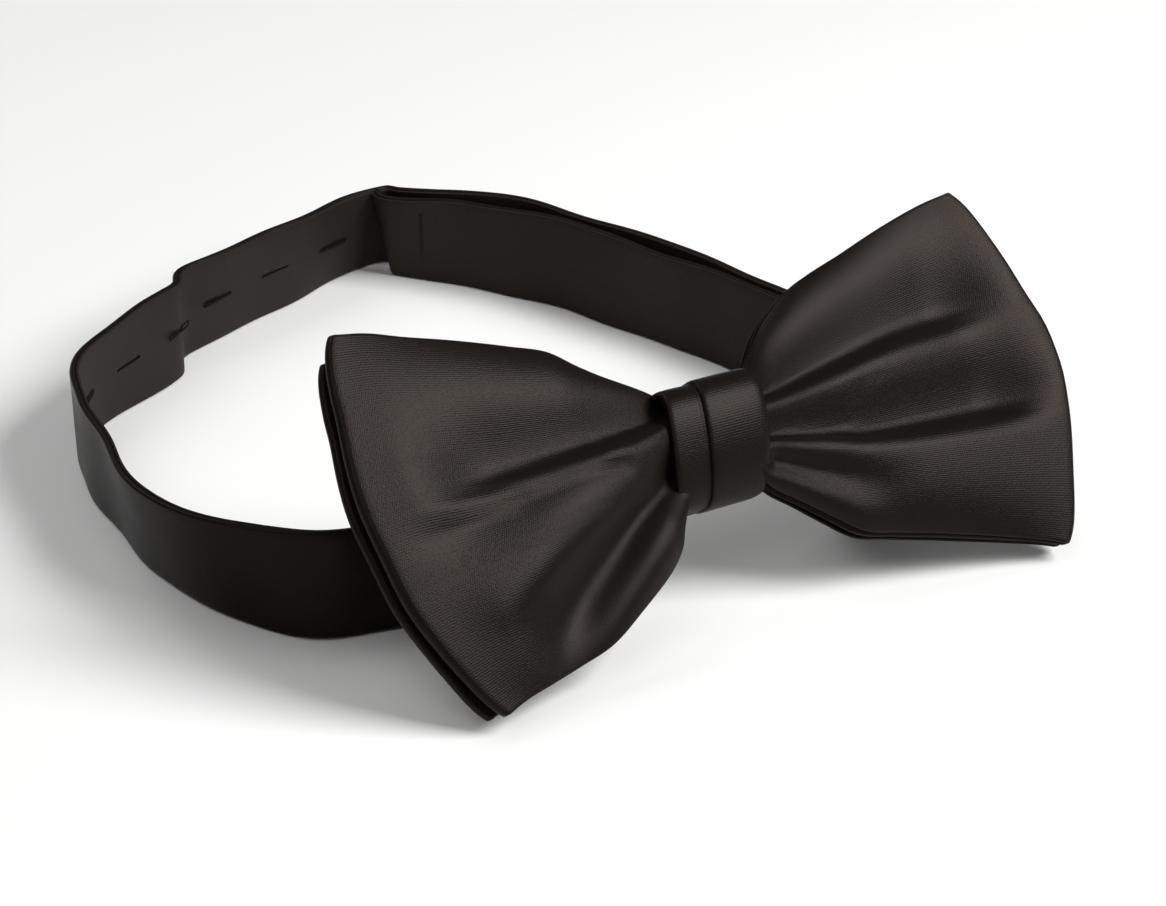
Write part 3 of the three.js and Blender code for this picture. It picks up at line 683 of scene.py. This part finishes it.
class BOWTIE_OT_band(bpy.types.Operator):
    bl_idname = "bowtie.band"
    bl_label = "Neckband"

    def execute(self, context):
        s = sizes()
        half = s.band_thickness / 2
        satin, lining = satin_material(), lining_material()
        for name, points, cad in (
            ("long_band", LONG_BAND, ("neckband", "tail")),
            ("short_band", SHORT_BAND, ("right_strap",)),
        ):
            frames = band_frames(points)
            ripple = soft_ripple(4 if name == "long_band" else 9, 0.6)
            face = band_mesh(f"{name}_face", frames, rounded_section(s.band_width, -half, half - 0.5), satin, ripple)
            inner = band_mesh(f"{name}_lining", frames, rounded_section(s.band_width - 0.25, half - 0.51, half, 14),
                              lining, ripple)
            if name == "long_band":
                before, after = slot_places(frames)
                places = before + after
                hooked = [1.5 if d == after[0] else 0.14 for d in places]
                cut_slots(face, frames, places, hooked, 3)
                cut_slots(inner, frames, places, [max(h, 0.5) for h in hooked], 3)
                for obj in (face, inner):
                    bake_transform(obj)
            else:
                for obj in (face, inner):
                    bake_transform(obj)
            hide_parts(*[f"{c}_{layer}" for c in cad for layer in ("face", "stiffener")])
            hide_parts(*[f"{c}_lining" for c in cad])
        return {"FINISHED"}


# ---------------------------------------------------------------- stitching
def stitch_nodes():
    """Lays short stitches along or across lines. The lines carry an `out` vector, away from the cloth."""
    old = bpy.data.node_groups.get("Stitch row")
    if old:
        return old
    tree = bpy.data.node_groups.new("Stitch row", "GeometryNodeTree")
    face = tree.interface
    face.new_socket("Geometry", in_out="INPUT", socket_type="NodeSocketGeometry")
    for label, kind, value in (
        ("Pitch", "NodeSocketFloat", 0.5), ("Length", "NodeSocketFloat", 0.9),
        ("Thickness", "NodeSocketFloat", 0.3), ("Turn", "NodeSocketFloat", 90.0),
        ("Unevenness", "NodeSocketFloat", 10.0), ("Seed", "NodeSocketInt", 1),
    ):
        face.new_socket(label, in_out="INPUT", socket_type=kind).default_value = value
    face.new_socket("Thread", in_out="INPUT", socket_type="NodeSocketMaterial")
    face.new_socket("Geometry", in_out="OUTPUT", socket_type="NodeSocketGeometry")
    add, link = tree.nodes.new, tree.links.new
    given, out = add("NodeGroupInput"), add("NodeGroupOutput")
    to_curve, resample = add("GeometryNodeMeshToCurve"), add("GeometryNodeResampleCurve")
    resample.mode = "LENGTH"
    to_points = add("GeometryNodeCurveToPoints")
    to_points.mode = "EVALUATED"
    link(given.outputs["Geometry"], to_curve.inputs[0])
    link(to_curve.outputs[0], resample.inputs["Curve"])
    link(given.outputs["Pitch"], resample.inputs["Length"])
    link(resample.outputs[0], to_points.inputs[0])
    named = add("GeometryNodeInputNamedAttribute")
    named.data_type = "FLOAT_VECTOR"
    named.inputs["Name"].default_value = "out"
    first, second = add("FunctionNodeAlignRotationToVector"), add("FunctionNodeAlignRotationToVector")
    first.axis, second.axis, second.pivot_axis = "Z", "X", "Z"
    link(named.outputs["Attribute"], first.inputs["Vector"])
    link(first.outputs[0], second.inputs["Rotation"])
    link(to_points.outputs["Tangent"], second.inputs["Vector"])
    wobble = add("FunctionNodeRandomValue")
    wobble.data_type = "FLOAT"
    link(given.outputs["Seed"], wobble.inputs["Seed"])
    minus = add("ShaderNodeMath")
    minus.operation = "MULTIPLY"
    minus.inputs[1].default_value = -1.0
    link(given.outputs["Unevenness"], minus.inputs[0])
    link(minus.outputs[0], wobble.inputs[2])
    link(given.outputs["Unevenness"], wobble.inputs[3])
    total = add("ShaderNodeMath")
    total.operation = "ADD"
    link(given.outputs["Turn"], total.inputs[0])
    link(wobble.outputs[1], total.inputs[1])
    radians = add("ShaderNodeMath")
    radians.operation = "RADIANS"
    link(total.outputs[0], radians.inputs[0])
    spin = add("FunctionNodeAxisAngleToRotation")
    spin.inputs["Axis"].default_value = (0, 0, 1)
    link(radians.outputs[0], spin.inputs["Angle"])
    rotate = add("FunctionNodeRotateRotation")
    rotate.rotation_space = "LOCAL"
    link(second.outputs[0], rotate.inputs["Rotation"])
    link(spin.outputs[0], rotate.inputs["Rotate By"])
    ball = add("GeometryNodeMeshUVSphere")
    ball.inputs["Segments"].default_value, ball.inputs["Rings"].default_value = 8, 6
    ball.inputs["Radius"].default_value = 0.5
    shape = add("ShaderNodeCombineXYZ")
    link(given.outputs["Length"], shape.inputs[0])
    link(given.outputs["Thickness"], shape.inputs[1])
    link(given.outputs["Thickness"], shape.inputs[2])
    place = add("GeometryNodeInstanceOnPoints")
    link(to_points.outputs["Points"], place.inputs["Points"])
    link(ball.outputs["Mesh"], place.inputs["Instance"])
    link(rotate.outputs[0], place.inputs["Rotation"])
    link(shape.outputs[0], place.inputs["Scale"])
    realize, paint = add("GeometryNodeRealizeInstances"), add("GeometryNodeSetMaterial")
    link(place.outputs[0], realize.inputs[0])
    link(realize.outputs[0], paint.inputs["Geometry"])
    link(given.outputs["Thread"], paint.inputs["Material"])
    link(paint.outputs[0], out.inputs[0])
    return tree


def stitched(name, lines, settings, material):
    """A plain mesh of stitches on lines of (points, out vector), in millimetres in the row frame."""
    verts, edges, outs = [], [], []
    for points, out, closed in lines:
        base = len(verts)
        verts += [tuple(np.asarray(p) / 1000) for p in points]
        outs += [tuple(out)] * len(points)
        edges += [(base + i, base + i + 1) for i in range(len(points) - 1)]
        if closed:
            edges.append((base + len(points) - 1, base))
    mesh = bpy.data.meshes.new(name + "_lines")
    mesh.from_pydata(verts, edges, [])
    attribute = mesh.attributes.new("out", "FLOAT_VECTOR", "POINT")
    attribute.data.foreach_set("vector", np.array(outs, np.float32).ravel())
    holder = bpy.data.objects.new(name + "_lines", mesh)
    bpy.context.scene.collection.objects.link(holder)
    modifier = holder.modifiers.new("Stitches", "NODES")
    modifier.node_group = stitch_nodes()
    values = dict(settings, Thread=material)
    for item in modifier.node_group.interface.items_tree:
        if item.in_out == "INPUT" and item.name in values:
            value = values[item.name]
            scale = 0.001 if item.name in ("Pitch", "Length", "Thickness") else 1
            modifier[item.identifier] = value if item.name in ("Thread", "Seed") else float(value) * scale
    holder.update_tag()
    depsgraph = bpy.context.evaluated_depsgraph_get()
    made = bpy.data.meshes.new_from_object(holder.evaluated_get(depsgraph))
    made.shade_smooth()
    obj = bpy.data.objects.new(name, made)
    bpy.context.scene.collection.objects.link(obj)
    bpy.data.objects.remove(holder)
    return obj


def slot_lines(frames, distances, side, high):
    """The edge of each slot, on the neck side (side 1) or the outer side (side -1)."""
    depth = sizes().band_thickness / 2
    lines = []
    for distance in distances:
        f = frame_at(frames, distance)
        ring = stadium(sizes().slot_length + 0.5, high)
        points = [f["p"] + f["way"] * a + f["up"] * b + f["in"] * side * (depth - 0.02) for a, b in ring]
        lines.append((points, f["in"] * side, True))
    return lines


class BOWTIE_OT_stitches(bpy.types.Operator):
    bl_idname = "bowtie.stitches"
    bl_label = "Slot stitching and bar tacks"

    def execute(self, context):
        black = thread_material("Black sewing thread", "thread")
        worn = thread_material("Worn buttonhole thread", "fray")
        frames = band_frames(LONG_BAND)
        before, after = slot_places(frames)
        edging = {"Pitch": 0.4, "Length": 0.55, "Thickness": 0.24, "Turn": 90, "Unevenness": 26, "Seed": 3}
        loose = {"Pitch": 1.1, "Length": 1.1, "Thickness": 0.16, "Turn": 70, "Unevenness": 40, "Seed": 8}
        for body, places, numbers in (("bow_and_band", before, range(1, 7)), ("tail", after, range(7, 12))):
            lines = slot_lines(frames, places, 1, 0.85) + slot_lines(frames, places, -1, 0.85)
            obj = stitched(f"slot_stitching_{body}", lines, edging, black)
            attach(obj, body)
            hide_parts(*[f"slot_stitching_{i}" for i in numbers])
            worn_slots = [places[4], places[4] + 0.3] if body == "bow_and_band" else places[1:2]
            frayed = stitched(f"slot_fray_{body}", slot_lines(frames, worn_slots, 1, 1.7), loose, worn)
            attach(frayed, body)
        short = band_frames(SHORT_BAND)
        depth = sizes().band_thickness / 2
        tack = {"Pitch": 0.36, "Length": 0.9, "Thickness": 0.2, "Turn": 90, "Unevenness": 5, "Seed": 5}
        for body, f, cad in (
            ("right_strap", frame_at(short, 9.0), "right_end_tack"),
            ("tail", frame_at(frames, frames["run"][-1] - 4), "tail_end_tack"),
        ):
            line = [f["p"] + f["up"] * w + f["in"] * (depth - 0.02) for w in np.linspace(-6, 6, 13)]
            obj = stitched(f"{cad}_thread", [(line, f["in"], False)], tack, black)
            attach(obj, body)
            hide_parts(cad)
        return {"FINISHED"}


# ---------------------------------------------------------------- hook and tab
class BOWTIE_OT_hook(bpy.types.Operator):
    bl_idname = "bowtie.hook"
    bl_label = "Hook and tab"

    def execute(self, context):
        frames = band_frames(LONG_BAND)
        f = frame_at(frames, slot_places(frames)[1][0])
        s = sizes()
        depth = STRAP_SPACING / 2

        def at(along, across, inward):
            return f["p"] + f["way"] * along + f["up"] * across + f["in"] * inward

        lines = [
            [at(0, 0, -1.55), at(0, 0, 1.6), at(0.25, 0, 2.35), at(1, 0, depth), at(4, 0, depth)],
            [at(4, -4.1, depth), at(4.4, -4.5, depth), at(7.6, -4.5, depth), at(8, -4.1, depth),
             at(8, 4.1, depth), at(7.6, 4.5, depth), at(4.4, 4.5, depth), at(4, 4.1, depth), at(4, -4.1, depth)],
        ]
        curve = bpy.data.curves.new("hook", "CURVE")
        curve.dimensions, curve.use_fill_caps = "3D", True
        curve.bevel_depth, curve.bevel_resolution = s.wire / 2000, 3
        for points in lines:
            spline = curve.splines.new("POLY")
            spline.points.add(len(points) - 1)
            for q, p in zip(spline.points, points):
                q.co = (*(p / 1000), 1)
        holder = bpy.data.objects.new("hook_curve", curve)
        bpy.context.scene.collection.objects.link(holder)
        mesh = bpy.data.meshes.new_from_object(holder.evaluated_get(bpy.context.evaluated_depsgraph_get()))
        bpy.data.objects.remove(holder)
        mesh.materials.clear()
        mesh.materials.append(wire_material())
        mesh.shade_smooth()
        hook = bpy.data.objects.new("hook", mesh)
        bpy.context.scene.collection.objects.link(hook)
        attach(hook, "hook")
        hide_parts("strap_hook")

        ring = [(14.3, depth + 1.05), (8.2, depth + 1.05)]
        ring += [(8 + 1.05 * math.sin(math.radians(a)), depth + 1.05 * math.cos(math.radians(a)))
                 for a in (-20, -60, -100, -140, -180, -220, -260)]
        ring += [(9.3, depth + 0.45), (14.3, depth + 0.45)]
        inner = [at(a, 0, i) for a, i in ring]
        p = np.array(inner)
        tangent = unit(np.gradient(p, axis=0))
        side = unit(np.cross(tangent, f["up"]))
        section = rounded_section(6, -0.2, 0.2, 6)
        grid = np.array([[c + f["up"] * w + n * o for w, o in section] for c, n in zip(p, side)])
        run = np.concatenate([[0], np.cumsum(np.linalg.norm(np.diff(p, axis=0), axis=1))])
        around = np.linspace(0, 13, len(section) + 1)
        uv = np.stack(np.meshgrid(run, around, indexing="ij"), -1)
        tab = mesh_from_grid("hook_tab_cloth", grid, uv, False, satin_material())
        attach(tab, "right_strap")
        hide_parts("hook_tab")
        return {"FINISHED"}


# ---------------------------------------------------------------- the stage
LAMPS = (  # name, place and size in metres, power in watts
    ("key", (0.48, -0.5, 0.68), 0.5, 10.3),
    ("fill", (-0.56, -0.35, 0.76), 0.6, 1.6),
    ("back", (-0.2, 0.55, 0.8), 0.7, 2.4),
)
CAMERA_ANGLES = (-34.6, 26.8, 2.2)  # azimuth, elevation and roll in degrees
CAMERA_AIM = (-31.5, -9.54, 10.98)  # from the bow's middle, in millimetres
CAMERA_DISTANCE = 0.585
CAMERA_LENS, CAMERA_SENSOR = 120.7, 36


class BOWTIE_OT_stage(bpy.types.Operator):
    bl_idname = "bowtie.stage"
    bl_label = "Table, lights and camera"

    def execute(self, context):
        scene = context.scene
        mesh = bpy.data.meshes.new("table")
        mesh.from_pydata([(-4, -4, 0), (4, -4, 0), (4, 6, 0), (-4, 6, 0)], [], [(0, 1, 2, 3)])
        material, tree, shader = nodes_for("White table")
        shader.inputs["Base Color"].default_value = colour("table")
        shader.inputs["Roughness"].default_value = 0.6
        mesh.materials.append(material)
        floor = bpy.data.objects.new("table", mesh)
        floor.location.z = -0.0001
        scene.collection.objects.link(floor)

        world = bpy.data.worlds.new("Studio")
        world.use_nodes = True
        back = world.node_tree.nodes["Background"]
        back.inputs[0].default_value = (1, 1, 1, 1)
        back.inputs[1].default_value = 0.12
        scene.world = world
        scene.view_settings.view_transform = "Standard"
        for name, place, size, power in LAMPS:
            light = bpy.data.lights.new(name, "AREA")
            light.size, light.energy = size, power
            lamp = bpy.data.objects.new(name, light)
            lamp.location = place
            aim = Vector((0, 0, 0.02)) - Vector(place)
            lamp.rotation_mode = "QUATERNION"
            lamp.rotation_quaternion = aim.to_track_quat("-Z", "Y")
            scene.collection.objects.link(lamp)

        azimuth, elevation, roll = (math.radians(a) for a in CAMERA_ANGLES)
        target = Vector((ORIGIN + CAMERA_AIM) / 1000)
        back_way = Vector((math.sin(azimuth) * math.cos(elevation), -math.cos(azimuth) * math.cos(elevation),
                           math.sin(elevation)))
        right = Vector((0, 0, 1)).cross(back_way).normalized()
        up = back_way.cross(right)
        right, up = (right * math.cos(roll) + up * math.sin(roll), up * math.cos(roll) - right * math.sin(roll))
        camera = bpy.data.objects.new("camera", bpy.data.cameras.new("camera"))
        camera.data.lens, camera.data.sensor_width = CAMERA_LENS, CAMERA_SENSOR
        camera.data.clip_start, camera.data.clip_end = 0.01, 20
        camera.matrix_world = Matrix((right, up, back_way)).transposed().to_4x4()
        camera.matrix_world.translation = target + back_way * CAMERA_DISTANCE
        scene.collection.objects.link(camera)
        scene.camera = camera
        return {"FINISHED"}


class BOWTIE_PT_panel(bpy.types.Panel):
    bl_label = "Bow tie"
    bl_space_type = "VIEW_3D"
    bl_region_type = "UI"
    bl_category = "Bow tie"

    def draw(self, context):
        for group in (context.scene.bow_tie_sizes, context.scene.bow_tie_colours):
            for key in group.__annotations__:
                self.layout.prop(group, key)
        for operator in OPERATORS:
            self.layout.operator(operator.bl_idname)


OPERATORS = (
    BOWTIE_OT_bow,
    BOWTIE_OT_knot,
    BOWTIE_OT_band,
    BOWTIE_OT_stitches,
    BOWTIE_OT_hook,
    BOWTIE_OT_stage,
)
CLASSES = (BowTieSizes, BowTieColours, *OPERATORS, BOWTIE_PT_panel)


def register():
    for c in CLASSES:
        bpy.utils.register_class(c)
    bpy.types.Scene.bow_tie_sizes = bpy.props.PointerProperty(type=BowTieSizes)
    bpy.types.Scene.bow_tie_colours = bpy.props.PointerProperty(type=BowTieColours)


def unregister():
    del bpy.types.Scene.bow_tie_sizes
    del bpy.types.Scene.bow_tie_colours
    for c in reversed(CLASSES):
        bpy.utils.unregister_class(c)


def main():
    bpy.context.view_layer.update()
    register()
    bpy.ops.bowtie.bow()
    bpy.ops.bowtie.knot()
    bpy.ops.bowtie.band()
    bpy.ops.bowtie.stitches()
    bpy.ops.bowtie.hook()
    bpy.ops.bowtie.stage()


if __name__ == "__main__":
    main()
